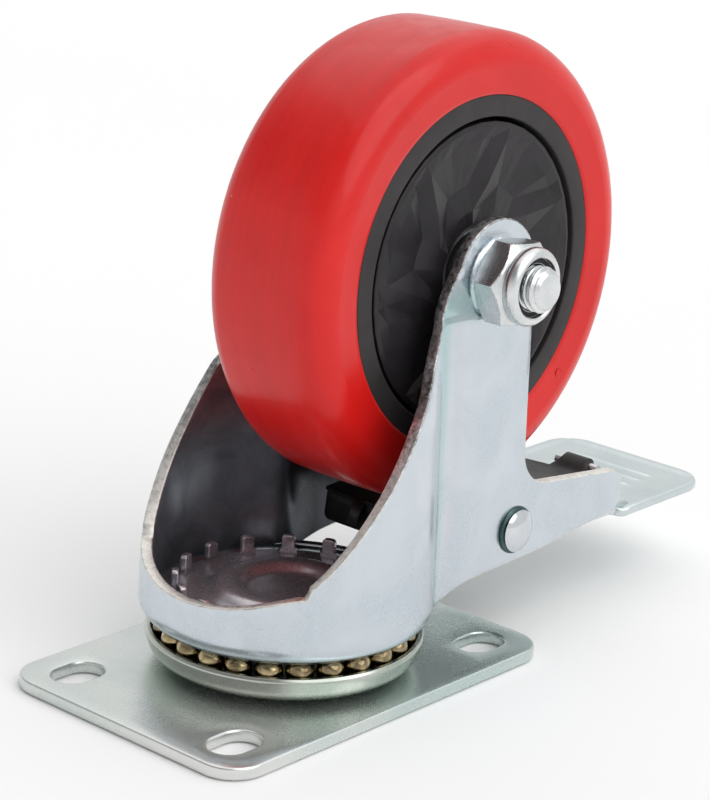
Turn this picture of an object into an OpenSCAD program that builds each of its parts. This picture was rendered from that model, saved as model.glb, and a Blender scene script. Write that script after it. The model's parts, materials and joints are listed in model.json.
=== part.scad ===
// Swivel castor with a total-lock brake, standing on its mounting plate.
// Frame: +Z up, origin on the plate's mounting face at the swivel axis,
// +X towards the trailing wheel, Y along the wheel axle, near side at -Y.
// All sizes in millimetres.

/* [Mounting plate] */
// Length of the plate along the trail
plate_l = 97; // [90:1:110]
// Width of the plate
plate_w = 66; // [62:1:75]
// Thickness of the plate
plate_t = 2.7; // [2:0.1:2.7]
// Corner radius of the plate
plate_r = 8; // [4:1:10]
// Slot spacing along the length
slot_dx = 75; // [70:1:80]
// Slot spacing along the width
slot_dy = 45; // [42:1:50]
// Overall length of one slot
slot_l = 12; // [10:0.5:13]
// Width of one slot
slot_w = 8.5; // [6:0.5:9]

/* [Swivel head] */
// Outer radius of the lower race dish
dish_r = 29.3; // [29:0.1:30]
// Number of main balls
main_n = 25; // [12:1:25]
// Number of upper balls
upper_n = 18; // [10:1:18]
// Number of locking teeth on the claw disc
tooth_n = 16; // [12:1:18]
// Turn of the claw disc about the swivel axis, in degrees
tooth_turn = -2.7; // [-6:0.1:0]

/* [Fork] */
// Outer radius of the fork's cup
cup_r = 30.7; // [30.5:0.1:31]
// Thickness of the fork's sheet
sheet_t = 2.5; // [2.2:0.1:2.6]
// Outer face of the lower legs, from the centre plane
leg_y = 22; // [21.8:0.1:22.2]
// Outer face of the legs round the axle, from the centre plane
head_y = 21; // [20.8:0.1:21]
// Radius of the rounded leg end
head_r = 12.5; // [12:0.1:13]

/* [Wheel] */
// Radius of the wheel
wheel_r = 50; // [48:0.5:50]
// Width of the tyre
wheel_w = 32.4; // [30:0.2:33]
// Distance from the swivel axis to the axle
trail = 37.25; // [37:0.05:37.5]
// Height of the axle above the mounting face
axle_z = 83.3; // [83:0.1:84]

/* [Brake] */
// Distance from the swivel axis to the pedal pivot
pivot_x = 47.8; // [47.5:0.1:48]
// Height of the pedal pivot
pivot_z = 25.7; // [25.5:0.1:26]
// Distance from the swivel axis to the end of the pedal
pedal_end = 123; // [118:0.5:126]
// Half width of the pedal's tread
pedal_hw = 21.2; // [20:0.2:24]

/* [Hidden] */
$fn = 96;

far = 100;                         // reach of the cutting blocks
slack = 0.08;                      // running clearance round balls

// swivel head
ball_r = 3;
race_r = 24.8;                     // radius of the main ball circle
race_z = 10.2;
dish_t = 2;
dish_foot_r = 21;                  // where the dish leaves the plate
dish_rim_z = 9.6;
post_r = 6;
spigot_r = 4;
spigot_z = 0.4;
floor_z = 12.8;                    // underside of the fork's floor
floor_t = 2.2;
floor_hole_r = 8.4;
floor_round = 4;                   // outer round of the cup's base
upper_ball_r = 2;
upper_race_r = 12.5;
upper_z = 16.5;
claw_t = 1.5;
claw_r = 24.6;                     // outer radius of the disc between its teeth
claw_mid_z = 18.3;                 // top of the flat middle
claw_crest_z = 20;                 // top of the ring-shaped ridge
claw_rim_z = 17.6;                 // top of the outer rim
claw_tip_z = 21.4;                 // top of the teeth
tooth_w = 2.9;
tooth_out_r = 25.4;

// fork
taper_r = 1.4;                     // how far the cup's wall leans in by its top
cup_top = 78;
joggle_z = 77;                     // height where the legs step inwards
joggle_h = 2;
bend_x = 20.4;                     // where the round wall meets the flat side
rear_lip_z = 17.4;
leg_back_x = trail + head_r;
arm_root_round = 8.9;
boss_r = 9.3;

// wheel and bearings
axle_r = 5;
core_r = 37.1;
core_hw = 15.5;
tyre_round = 6.9;
tyre_side_r = 43.1;                // where the shoulder meets the side wall
cover_r = 31.8;
cover_seat_r = 32.5;
cover_in = 13.6;
cover_out = 15.2;
cover_hole_r = 9.4;
tube_r = 6;
tube_bore_r = 5.1;
bearing_r = 16;
bearing_w = 10;
bearing_mid = cover_in - bearing_w / 2;
bearing_pitch_r = 11;
bearing_ball_r = 3;
bearing_n = 7;
inner_ring_r = 9;
outer_ring_r = 13;
cage_t = 1.6;
cage_w = 5;
bush_r = 8.5;
leg_in = head_y - sheet_t;         // inner face of the legs round the axle

// axle bolt and lock nut
hex_af = 17;
hex_r = hex_af / 2 / cos(30);
bolt_end = 34.6;
bolt_chamfer = 1;
bolt_head_h = 6.4;
boss_y = head_y + 1;
nut_h = 9.8;
nut_hex_h = 6.4;
collar_r = 8.2;
nut_turn = -6;

// brake
rivet_r = 3;
rivet_head_r = 4.7;
rivet_head_h = 2.7;
washer_r = 5.3;
washer_t = 0.9;
sleeve_r = 4;
cheek_out = 19.2;
cheek_t = 2;
cheek_in = cheek_out - cheek_t;
pedal_t = 2;
tread_top = 20.3;
tread_start = 88.4;
tread_round = 8;
web_low = 19.3;
web_t = 1.8;
pin_r = 1.2;
eye_r = 1.95;
eye_hw = 4.4;
eye_x = 99.2;
eye_z = 23.2;
leaf_t = 1.2;
leaf_hw = 15;
leaf_front_x = 27.4;               // front of the flange that hangs behind the claw disc
leaf_front_low = 22.8;
leaf_front_top = 29.8;

// Points along an arc, from angle a0 to angle a1
function arc(c, r, a0, a1, n = 12) =
    [for (i = [0 : n]) let (a = a0 + (a1 - a0) * i / n) [c[0] + r * cos(a), c[1] + r * sin(a)]];

// Extrudes an outline drawn in X and Z between two places along Y
module along_y(y0, y1) {
    translate([0, y1, 0])
        rotate([90, 0, 0])
            linear_extrude(y1 - y0) children();
}

// Turns a profile drawn as radius and distance towards the near side about the wheel axle
module about_axle() {
    translate([trail, 0, axle_z])
        rotate([90, 0, 0])
            rotate_extrude() children();
}

// A plain tube round the wheel axle between two distances towards the near side
module axle_tube(v0, v1, r0, r1) {
    about_axle() translate([r0, v0]) square([r1 - r0, v1 - v0]);
}

module rounded_plan(l, w, r) {
    polygon(concat(
        arc([l / 2 - r, w / 2 - r], r, 0, 90),
        arc([-l / 2 + r, w / 2 - r], r, 90, 180),
        arc([-l / 2 + r, -w / 2 + r], r, 180, 270),
        arc([l / 2 - r, -w / 2 + r], r, 270, 360)));
}

// ---------- swivel head ----------

module slot_cut() {
    run = (slot_l - slot_w) / 2;
    for (s = [-1, 1]) translate([s * run, 0, -1]) cylinder(h = plate_t + 2, r = slot_w / 2);
    translate([-run, -slot_w / 2, -1]) cube([2 * run, slot_w, plate_t + 2]);
}

module mounting_plate() {
    color([0.74, 0.76, 0.74])
    difference() {
        linear_extrude(plate_t) rounded_plan(plate_l, plate_w, plate_r);
        for (sx = [-1, 1])
            for (sy = [-1, 1])
                translate([sx * slot_dx / 2, sy * slot_dy / 2, 0]) slot_cut();
        translate([0, 0, -1]) cylinder(h = plate_t + 2, r = spigot_r);
    }
}

module ball_groove(r, z, ball) {
    rotate_extrude() translate([r, z]) circle(r = ball + slack, $fn = 48);
}

module race_dish() {
    wall_h = dish_rim_z - plate_t - dish_t;
    outer = dish_r - dish_foot_r;
    color([0.78, 0.79, 0.75])
    difference() {
        rotate_extrude()
            polygon(concat(
                [[post_r, plate_t], [dish_foot_r, plate_t]],
                [for (i = [1 : 10]) let (a = 9 * i)
                    [dish_foot_r + outer * sin(a), plate_t + (wall_h + 0.6) * (1 - cos(a))]],
                [[dish_r, dish_rim_z], [dish_r - 1.4, dish_rim_z], [dish_r - 1.8, dish_rim_z - 0.8]],
                [[race_r + 1.6, race_z - 2.4], [race_r - 1.6, race_z - 2.4], [race_r - 4.6, plate_t + dish_t]],
                [[post_r, plate_t + dish_t]]));
        ball_groove(race_r, race_z, ball_r);
    }
}

module swivel_post() {
    color([0.7, 0.71, 0.72]) {
        translate([0, 0, plate_t]) cylinder(h = claw_mid_z - claw_t - plate_t, r = post_r);
        translate([0, 0, spigot_z]) cylinder(h = plate_t - spigot_z, r = spigot_r);
    }
}

module claw_disc() {
    color([0.66, 0.67, 0.7])
    rotate([0, 0, tooth_turn])
    union() {
        difference() {
            rotate_extrude()
                polygon([
                    [0, claw_mid_z - claw_t], [9.2, claw_mid_z - claw_t],
                    [10.2, claw_crest_z - claw_t - 0.6], [14.8, claw_crest_z - claw_t - 0.6],
                    [16.6, claw_rim_z - claw_t], [claw_r, claw_rim_z - claw_t],
                    [claw_r, claw_rim_z], [17.2, claw_rim_z],
                    [14.9, claw_crest_z - 0.3], [13.6, claw_crest_z], [11.4, claw_crest_z],
                    [10.1, claw_crest_z - 0.3], [8.9, claw_mid_z], [0, claw_mid_z]]);
            ball_groove(upper_race_r, upper_z, upper_ball_r);
        }
        for (i = [0 : tooth_n - 1])
            rotate([0, 0, i * 360 / tooth_n])
                translate([tooth_out_r - claw_t, -tooth_w / 2, claw_rim_z - claw_t])
                    cube([claw_t, tooth_w, claw_tip_z - claw_rim_z + claw_t]);
    }
}

module ball_ring(n, r, z, ball) {
    for (i = [0 : n - 1])
        rotate([0, 0, i * 360 / n])
            translate([r, 0, z]) sphere(r = ball, $fn = 32);
}

module main_balls() {
    color([0.72, 0.6, 0.36]) ball_ring(main_n, race_r, race_z, ball_r);
}

module upper_balls() {
    color([0.72, 0.6, 0.36]) ball_ring(upper_n, upper_race_r, upper_z, upper_ball_r);
}

// ---------- fork ----------

// Side view of what is kept of the round wall: low front lip, rising leg edge and rear lip
module wall_outline() {
    polygon([
        [-32, 12], [-32, 23.2], [-28.6, 24.2], [-25.8, 25.5], [-22, 27.2], [-19.3, 28.6],
        [-17.6, 30.4], [-15.2, 33.5], [-12.6, 36.6], [-9.6, 40.2], [-6.3, 44.2], [-3.1, 48.1],
        [-0.1, 52], [2.7, 56], [5.3, 60.2], [8.8, 63.8], [13, 67.2], [16.6, 71.2],
        [18.6, 75], [bend_x, 78], [bend_x, rear_lip_z], [32, rear_lip_z], [32, 12]]);
}

// What is kept of the wall seen along the trail: its top slopes in to the upper legs
module shoulder_outline() {
    polygon([
        [-cup_r - 1, 12], [-cup_r - 1, 61], [-leg_y + 1, cup_top], [leg_y - 1, cup_top],
        [cup_r + 1, 61], [cup_r + 1, 12]]);
}

// Half section of the cup's wall, with its rounded foot
module wall_profile() {
    r0 = cup_r - floor_round;
    polygon(concat(
        arc([r0, floor_z + floor_round], floor_round, -90, 0, 6),
        [[cup_r - taper_r, cup_top], [cup_r - taper_r - sheet_t, cup_top]],
        arc([r0, floor_z + floor_round], floor_round - sheet_t, 0, -90, 4)));
}

module round_wall() {
    intersection() {
        rotate_extrude() wall_profile();
        along_y(-40, 40) wall_outline();
        rotate([90, 0, 90]) translate([0, 0, -40]) linear_extrude(80) shoulder_outline();
    }
}

// Disc with the pressed ball race raised on its upper side
module cup_floor() {
    out = cup_r - floor_round + 0.4;
    top = floor_z + floor_t;
    rotate_extrude()
        polygon([
            [floor_hole_r, floor_z], [out, floor_z], [out, top], [race_r + 1.4, top + 0.5],
            [race_r - 2, top + 0.5], [race_r - 3.4, top], [floor_hole_r, top]]);
}

module leg_outline() {
    polygon(concat(
        [[bend_x - 1.5, 15.2], [23.5, 15.6], [28, 16.9], [33, 17.7], [56, 18.8], [72, 20.4]],
        arc([81.6, 25.6], 4.7, -80, 0, 8),
        arc([81.9, 27], 4.4, 0, 84, 8),
        arc([leg_back_x + arm_root_round, 43.2], arm_root_round, 263, 180, 10),
        arc([trail, axle_z], head_r, 0, 172, 24),
        [[23.4, 82.4], [21.9, 80.2], [20.9, 78.2], [bend_x - 1.5, 76.4]]));
}

module flat_leg() {
    along_y(-leg_y, -leg_y + sheet_t) intersection() {
        leg_outline();
        square([far, joggle_z + joggle_h / 2]);
    }
    along_y(-head_y, -head_y + sheet_t) intersection() {
        leg_outline();
        translate([0, joggle_z - joggle_h / 2]) square([far, far]);
    }
    translate([trail, -head_y + 1, axle_z]) rotate([90, 0, 0]) cylinder(h = boss_y - head_y + 1, r = boss_r);
}

module fork() {
    color([0.8, 0.83, 0.86])
    difference() {
        union() {
            round_wall();
            cup_floor();
            flat_leg();
            mirror([0, 1, 0]) flat_leg();
        }
        ball_groove(race_r, race_z, ball_r);
        ball_groove(upper_race_r, upper_z, upper_ball_r);
        translate([trail, 40, axle_z]) rotate([90, 0, 0]) cylinder(h = 80, r = axle_r);
        translate([pivot_x, 40, pivot_z]) rotate([90, 0, 0]) cylinder(h = 80, r = rivet_r);
    }
}

// ---------- axle ----------

module axle_bolt() {
    color([0.78, 0.79, 0.8]) {
        about_axle()
            polygon([[0, -boss_y - 1], [axle_r, -boss_y - 1], [axle_r, bolt_end - bolt_chamfer],
                     [axle_r - bolt_chamfer, bolt_end], [0, bolt_end]]);
        translate([trail, boss_y + bolt_head_h, axle_z])
            rotate([90, 0, 0]) cylinder(h = bolt_head_h, r = hex_r, $fn = 6);
    }
}

module axle_nut() {
    color([0.76, 0.77, 0.78])
    difference() {
        union() {
            translate([trail, -boss_y, axle_z])
                rotate([90, 0, 0]) rotate([0, 0, nut_turn]) cylinder(h = nut_hex_h, r = hex_r, $fn = 6);
            about_axle()
                polygon([[0, boss_y + nut_hex_h - 1], [collar_r, boss_y + nut_hex_h - 1],
                         [collar_r, boss_y + nut_h - 1.8], [collar_r - 0.5, boss_y + nut_h - 0.7],
                         [collar_r - 1.4, boss_y + nut_h], [0, boss_y + nut_h]]);
        }
        axle_tube(boss_y - 1, boss_y + nut_h + 1, 0, axle_r);
        axle_tube(boss_y + nut_hex_h, boss_y + nut_h + 1, 0, axle_r + 1.3);
    }
}

module nut_insert() {
    color([0.12, 0.12, 0.13]) axle_tube(boss_y + nut_hex_h, boss_y + nut_h - 0.8, axle_r, axle_r + 1.3);
}

module spacer_tube() {
    color([0.7, 0.71, 0.72]) axle_tube(-leg_in, leg_in, tube_bore_r, tube_r);
}

module side_bush(side) {
    color([0.68, 0.69, 0.7])
    mirror([0, side > 0 ? 1 : 0, 0]) axle_tube(cover_in, leg_in, tube_r, bush_r);
}

// ---------- bearings ----------

module bearing_groove() {
    about_axle() translate([bearing_pitch_r, bearing_mid]) circle(r = bearing_ball_r + slack, $fn = 48);
}

module bearing_ring(side, r0, r1) {
    color([0.72, 0.73, 0.75])
    mirror([0, side > 0 ? 1 : 0, 0])
        difference() {
            axle_tube(bearing_mid - bearing_w / 2, bearing_mid + bearing_w / 2, r0, r1);
            bearing_groove();
        }
}

module at_bearing_balls() {
    for (i = [0 : bearing_n - 1]) {
        a = 90 + i * 360 / bearing_n;
        translate([trail + bearing_pitch_r * cos(a), -bearing_mid, axle_z + bearing_pitch_r * sin(a)])
            children();
    }
}

module bearing_balls(side) {
    color([0.8, 0.81, 0.82])
    mirror([0, side > 0 ? 1 : 0, 0]) at_bearing_balls() sphere(r = bearing_ball_r, $fn = 32);
}

module bearing_cage(side) {
    color([0.6, 0.52, 0.35])
    mirror([0, side > 0 ? 1 : 0, 0])
        difference() {
            axle_tube(bearing_mid - cage_w / 2, bearing_mid + cage_w / 2,
                      bearing_pitch_r - cage_t / 2, bearing_pitch_r + cage_t / 2);
            at_bearing_balls() sphere(r = bearing_ball_r + 0.05, $fn = 32);
        }
}

// ---------- wheel ----------

module hub_core() {
    color([0.22, 0.22, 0.23])
    union() {
        about_axle()
            polygon([
                [cover_seat_r, -core_hw], [core_r, -core_hw], [core_r, -6], [core_r + 2, -5],
                [core_r + 2, 5], [core_r, 6], [core_r, core_hw], [cover_seat_r, core_hw],
                [cover_seat_r, 3], [bearing_r + 4.5, 3],
                [bearing_r + 4.5, cover_in], [bearing_r, cover_in], [bearing_r, bearing_mid - bearing_w / 2],
                [bearing_r - 2.5, bearing_mid - bearing_w / 2], [bearing_r - 2.5, -bearing_mid + bearing_w / 2],
                [bearing_r, -bearing_mid + bearing_w / 2], [bearing_r, -cover_in],
                [bearing_r + 4.5, -cover_in], [bearing_r + 4.5, -3], [cover_seat_r, -3]]);
        for (i = [0 : 7])
            translate([trail, 0, axle_z])
                rotate([0, i * 45, 0])
                    translate([bearing_r + 4, -11, -1]) cube([cover_seat_r - bearing_r - 3.6, 22, 2]);
    }
}

module tyre() {
    side = wheel_w / 2;
    color([0.82, 0.18, 0.16])
    about_axle()
        polygon(concat(
            [[core_r, -core_hw]],
            [[tyre_side_r, -side]],
            arc([wheel_r - tyre_round, -side + tyre_round], tyre_round, -90, 0, 10),
            arc([wheel_r - tyre_round, side - tyre_round], tyre_round, 0, 90, 10),
            [[core_r, core_hw], [core_r, 6], [core_r + 2, 5], [core_r + 2, -5], [core_r, -6]]));
}

module hub_cover(side) {
    color([0.2, 0.2, 0.22])
    mirror([0, side > 0 ? 1 : 0, 0])
        about_axle()
            polygon([
                [cover_hole_r, cover_in + 0.2], [bearing_r + 0.6, cover_in + 0.2], [bearing_r + 0.6, cover_in],
                [bearing_r + 4.6, cover_in], [cover_r, cover_in - 1],
                [cover_r, cover_out - 0.6], [cover_r - 0.8, cover_out],
                [cover_hole_r + 1, cover_out], [cover_hole_r, cover_out - 0.4]]);
}

// ---------- brake ----------

module cheek_outline() {
    polygon(concat(
        arc([pivot_x, pivot_z], 6.4, 90, 250, 12),
        [[56, web_low], [tread_start - 1, web_low], [tread_start + 2.5, tread_top - pedal_t]],
        [[101, tread_top - pedal_t], [101, tread_top]],
        [[94, 21.6], [86, 25.4], [60, 30.4]]));
}

module tread_plan() {
    x0 = tread_start;
    x1 = pedal_end;
    r = tread_round;
    polygon(concat(
        arc([x1 - r, pedal_hw - r], r, 0, 90),
        arc([x0 + 3, pedal_hw - 3], 3, 90, 180, 6),
        arc([x0 + 3, -pedal_hw + 3], 3, 180, 270, 6),
        arc([x1 - r, -pedal_hw + r], r, 270, 360)));
}

// Upturned front end of the web, which presses on the tyre
module shoe_outline() {
    polygon([[56, web_low], [62.5, web_low], [62.5, web_low + web_t], [60.2, web_low + web_t + 1.2],
             [59.4, 26], [58.4, 34.2], [57.4, 34.5], [56.3, 34], [57.6, 25]]);
}

module brake_pedal() {
    color([0.78, 0.81, 0.83])
    difference() {
        union() {
            for (s = [0, 1])
                mirror([0, s, 0]) along_y(-cheek_out, -cheek_in) cheek_outline();
            translate([0, 0, tread_top - pedal_t]) linear_extrude(pedal_t) tread_plan();
            translate([62, -cheek_out, web_low])
                cube([tread_start + 3 - 62, 2 * cheek_out, web_t]);
            along_y(-12, 12) shoe_outline();
            translate([56, -cheek_out, web_low]) cube([6.4, 2 * cheek_out, web_t]);
            for (s = [0, 1])
                mirror([0, s, 0]) along_y(-5.9, -4.7)
                    polygon([[96.6, tread_top - 1], [102.4, tread_top - 1], [101, eye_z - 0.9], [97.4, eye_z - 0.9]]);
        }
        translate([pivot_x, 40, pivot_z]) rotate([90, 0, 0]) cylinder(h = 80, r = rivet_r + 0.05);
        translate([eye_x, 20, eye_z]) rotate([90, 0, 0]) cylinder(h = 40, r = pin_r);
    }
}

module pivot_cylinder(y0, y1, r) {
    translate([pivot_x, y1, pivot_z]) rotate([90, 0, 0]) cylinder(h = y1 - y0, r = r);
}

module rivet_head() {
    translate([pivot_x, 0, pivot_z])
        rotate([90, 0, 0])
            rotate_extrude()
                polygon([[0, leg_y], [rivet_r, leg_y], [rivet_r, leg_y + washer_t], [rivet_head_r, leg_y + washer_t],
                         [rivet_head_r, leg_y + washer_t + 0.7], [rivet_head_r - 0.6, leg_y + rivet_head_h - 0.4],
                         [rivet_head_r - 2, leg_y + rivet_head_h + 0.1], [0, leg_y + rivet_head_h + 0.3]]);
}

module pedal_rivet() {
    color([0.82, 0.83, 0.84]) {
        pivot_cylinder(-leg_y - 0.5, leg_y + 0.5, rivet_r);
        rivet_head();
        mirror([0, 1, 0]) rivet_head();
    }
}

module pivot_sleeve() {
    color([0.7, 0.71, 0.72])
    difference() {
        pivot_cylinder(-cheek_in + 0.3, cheek_in - 0.3, sleeve_r);
        pivot_cylinder(-far, far, rivet_r);
    }
}

module rivet_washer(side) {
    color([0.6, 0.66, 0.66])
    mirror([0, side > 0 ? 1 : 0, 0])
        difference() {
            pivot_cylinder(-leg_y - washer_t, -leg_y, washer_r);
            pivot_cylinder(-far, far, rivet_r);
        }
}

// Side view of the brake leaf: lock prongs, saddle over the sleeve, slope and rear tongue
module leaf_outline() {
    polygon([
        [24.3, 24.8], [25.5, 24.8], [25.6, 28.2], [27.4, 29.2], [42, 30.2], [53, 30.2],
        [58, 29], [70, 23.4], [75, 22], [79, 21.2], [95.4, 21.2], [98.6, 21.5],
        [98.9, 22.6], [97.6, 24.2], [94.8, 22.4], [79.4, 22.4], [75.4, 23.2], [70.6, 24.6],
        [58.4, 30.2], [53.2, 31.4], [42, 31.4], [27, 30.4], [24.4, 28.9]]);
}

module leaf_plan() {
    polygon([
        [20, -6], [26.6, -6], [leaf_front_x, -leaf_hw], [95.2, -leaf_hw], [95.2, -eye_hw], [104, -eye_hw],
        [104, eye_hw], [95.2, eye_hw], [95.2, leaf_hw], [leaf_front_x, leaf_hw], [26.6, 6], [20, 6],
        [20, 3.1], [26.6, 3.1], [26.6, -3.1], [20, -3.1]]);
}

module brake_leaf() {
    color([0.1, 0.1, 0.1])
    difference() {
        union() {
            intersection() {
                along_y(-20, 20) leaf_outline();
                linear_extrude(far) leaf_plan();
            }
            translate([leaf_front_x, -leaf_hw, leaf_front_low])
                cube([leaf_t, 2 * leaf_hw, leaf_front_top - leaf_front_low]);
            translate([eye_x, eye_hw, eye_z]) rotate([90, 0, 0]) cylinder(h = 2 * eye_hw, r = eye_r);
        }
        translate([eye_x, far, eye_z]) rotate([90, 0, 0]) cylinder(h = 2 * far, r = pin_r);
        translate([56, -12.4, 20]) cube([7, 24.8, 14]);
    }
}

module leaf_pin() {
    color([0.82, 0.8, 0.78])
        translate([eye_x, 5.9, eye_z]) rotate([90, 0, 0]) cylinder(h = 11.8, r = pin_r);
}

mounting_plate();
race_dish();
swivel_post();
claw_disc();
main_balls();
upper_balls();
fork();
axle_bolt();
axle_nut();
nut_insert();
spacer_tube();
side_bush(-1);  // side_bush_near
side_bush(1);  // side_bush_far
bearing_ring(-1, outer_ring_r, bearing_r);  // bearing_near_outer
bearing_ring(-1, tube_r, inner_ring_r);  // bearing_near_inner
bearing_balls(-1);  // bearing_near_balls
bearing_cage(-1);  // bearing_near_cage
bearing_ring(1, outer_ring_r, bearing_r);  // bearing_far_outer
bearing_ring(1, tube_r, inner_ring_r);  // bearing_far_inner
bearing_balls(1);  // bearing_far_balls
bearing_cage(1);  // bearing_far_cage
hub_core();
tyre();
hub_cover(-1);  // hub_cover_near
hub_cover(1);  // hub_cover_far
brake_pedal();
pedal_rivet();
pivot_sleeve();
rivet_washer(-1);  // rivet_washer_near
rivet_washer(1);  // rivet_washer_far
brake_leaf();
leaf_pin();
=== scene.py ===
"""Looks of a swivel castor with a total-lock brake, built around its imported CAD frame.
Shapes are worked out in millimetres in the CAD frame and scaled to metres when a mesh is made."""
import json
import math

import bmesh
import bpy
import numpy as np
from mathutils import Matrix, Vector
from mathutils.geometry import delaunay_2d_cdt


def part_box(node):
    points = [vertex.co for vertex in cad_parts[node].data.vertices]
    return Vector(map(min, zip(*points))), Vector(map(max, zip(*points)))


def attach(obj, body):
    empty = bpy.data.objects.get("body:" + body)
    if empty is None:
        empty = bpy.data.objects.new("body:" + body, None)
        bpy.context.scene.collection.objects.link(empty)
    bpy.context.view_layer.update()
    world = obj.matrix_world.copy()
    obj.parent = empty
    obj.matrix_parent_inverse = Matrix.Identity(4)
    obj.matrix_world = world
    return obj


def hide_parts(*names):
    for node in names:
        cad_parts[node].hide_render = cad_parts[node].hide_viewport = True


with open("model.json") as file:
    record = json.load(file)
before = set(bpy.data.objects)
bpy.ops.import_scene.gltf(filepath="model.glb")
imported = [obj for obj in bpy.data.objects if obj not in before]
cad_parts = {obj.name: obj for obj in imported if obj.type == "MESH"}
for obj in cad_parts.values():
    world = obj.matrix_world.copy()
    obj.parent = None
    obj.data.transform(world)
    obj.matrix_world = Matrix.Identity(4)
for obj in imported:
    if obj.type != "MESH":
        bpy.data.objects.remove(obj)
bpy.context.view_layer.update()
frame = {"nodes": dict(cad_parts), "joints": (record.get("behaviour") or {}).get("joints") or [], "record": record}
MM = 0.001


def joint_place(name):
    """X and Z of a joint, in millimetres."""
    found = [j for j in frame["joints"] if j["name"] == name][0]
    return found["pos_m"][0] / MM, found["pos_m"][2] / MM


def node_box(name):
    """Lowest and highest corner of a CAD node, in millimetres."""
    low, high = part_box(name)
    return np.array(low) / MM, np.array(high) / MM


AXLE_X, AXLE_Z = joint_place("wheel_spin")
PIVOT_X, PIVOT_Z = joint_place("pedal_press")

# ---------- outlines ----------


def arc(centre, radius, start, end, count=12):
    """Points along an arc, from one angle to another in degrees."""
    angles = np.radians(np.linspace(start, end, count + 1))
    return [(centre[0] + radius * math.cos(a), centre[1] + radius * math.sin(a)) for a in angles]


def smooth(points, step=1.0):
    """A Catmull-Rom curve through a few points."""
    pts = [np.array(p, float) for p in points]
    pts = [2 * pts[0] - pts[1]] + pts + [2 * pts[-1] - pts[-2]]
    out = []
    for p0, p1, p2, p3 in zip(pts, pts[1:], pts[2:], pts[3:]):
        count = max(2, int(np.linalg.norm(p2 - p1) / step))
        for t in np.arange(count) / count:
            out.append(tuple(0.5 * (2 * p1 + (p2 - p0) * t + (2 * p0 - 5 * p1 + 4 * p2 - p3) * t * t
                                    + (3 * p1 - p0 - 3 * p2 + p3) * t ** 3)))
    return out + [tuple(pts[-2])]


def rounded(corners, count=4):
    """A closed outline from (x, y, radius) corners, each corner as an arc."""
    out = []
    for i, (x, y, r) in enumerate(corners):
        here = np.array([x, y], float)
        if r == 0:
            out.append(tuple(here))
            continue
        back = np.array(corners[i - 1][:2], float) - here
        ahead = np.array(corners[(i + 1) % len(corners)][:2], float) - here
        back /= np.linalg.norm(back)
        ahead /= np.linalg.norm(ahead)
        half = math.acos(max(-1.0, min(1.0, float(back @ ahead)))) / 2
        reach = r / math.tan(half)
        middle = here + (back + ahead) / np.linalg.norm(back + ahead) * r / math.sin(half)
        first = here + back * reach - middle
        last = here + ahead * reach - middle
        turn = math.atan2(first[0] * last[1] - first[1] * last[0], float(first @ last))
        for k in range(count + 1):
            a = turn * k / count
            c, s = math.cos(a), math.sin(a)
            out.append((middle[0] + c * first[0] - s * first[1], middle[1] + s * first[0] + c * first[1]))
    return out


def anticlockwise(loop):
    """The outline as an array that runs anticlockwise, without repeated points."""
    pts = [np.array(p, float) for p in loop]
    pts = [p for i, p in enumerate(pts) if np.linalg.norm(p - pts[i - 1]) > 1e-4]
    pts = np.array(pts)
    x, y = pts[:, 0], pts[:, 1]
    area = float(np.sum(x * np.roll(y, -1) - np.roll(x, -1) * y))
    return pts if area > 0 else pts[::-1]


def inset(loop, distance):
    """Moves an outline towards its left-hand side, with mitred corners."""
    into = loop - np.roll(loop, 1, 0)
    away = np.roll(loop, -1, 0) - loop
    into /= np.linalg.norm(into, axis=1)[:, None]
    away /= np.linalg.norm(away, axis=1)[:, None]
    left_in = np.stack([-into[:, 1], into[:, 0]], 1)
    left_out = np.stack([-away[:, 1], away[:, 0]], 1)
    spread = np.maximum(1 + np.sum(left_in * left_out, 1), 0.4)[:, None]
    return loop + distance * (left_in + left_out) / spread


def encloses(loop, pts):
    """Which points lie inside a closed outline."""
    result = np.zeros(len(pts), bool)
    for a, b in zip(loop, np.roll(loop, -1, 0)):
        crosses = (a[1] > pts[:, 1]) != (b[1] > pts[:, 1])
        rise = b[1] - a[1] if b[1] != a[1] else 1e-9
        result ^= crosses & (pts[:, 0] < (b[0] - a[0]) * (pts[:, 1] - a[1]) / rise + a[0])
    return result


def clear_of(loop, pts, gap):
    """Which points are further than gap from an outline."""
    nearest = np.full(len(pts), np.inf)
    for a, b in zip(loop, np.roll(loop, -1, 0)):
        along = b - a
        t = np.clip(((pts - a) @ along) / max(float(along @ along), 1e-12), 0, 1)
        nearest = np.minimum(nearest, np.linalg.norm(pts - a - t[:, None] * along, axis=1))
    return nearest > gap


# ---------- mesh builders ----------


def piece(name, part, material, body, nodes=(), crease=38):
    """A mesh object from millimetre coordinates, on a CAD body and standing for CAD nodes.
    With several materials, a part's faces are tagged 0 outer, 1 inner and 2 cut edge."""
    verts, faces = part[0], part[1]
    materials = material if isinstance(material, tuple) else (material,)
    mesh = bpy.data.meshes.new(name)
    mesh.from_pydata([tuple(float(c) * MM for c in v) for v in verts], [], faces)
    if len(part) > 2 and len(materials) > 1:
        mesh.polygons.foreach_set("material_index", part[2])
    work = bmesh.new()
    work.from_mesh(mesh)
    bmesh.ops.remove_doubles(work, verts=work.verts, dist=2e-7)
    bmesh.ops.dissolve_degenerate(work, edges=work.edges, dist=1e-7)
    bmesh.ops.recalc_face_normals(work, faces=work.faces)
    work.to_mesh(mesh)
    work.free()
    mesh.shade_smooth()
    mesh.set_sharp_from_angle(angle=math.radians(crease))
    for look in materials:
        mesh.materials.append(look)
    obj = bpy.data.objects.new(name, mesh)
    bpy.context.scene.collection.objects.link(obj)
    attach(obj, body)
    if nodes:
        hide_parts(*nodes)
    return obj


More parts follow.
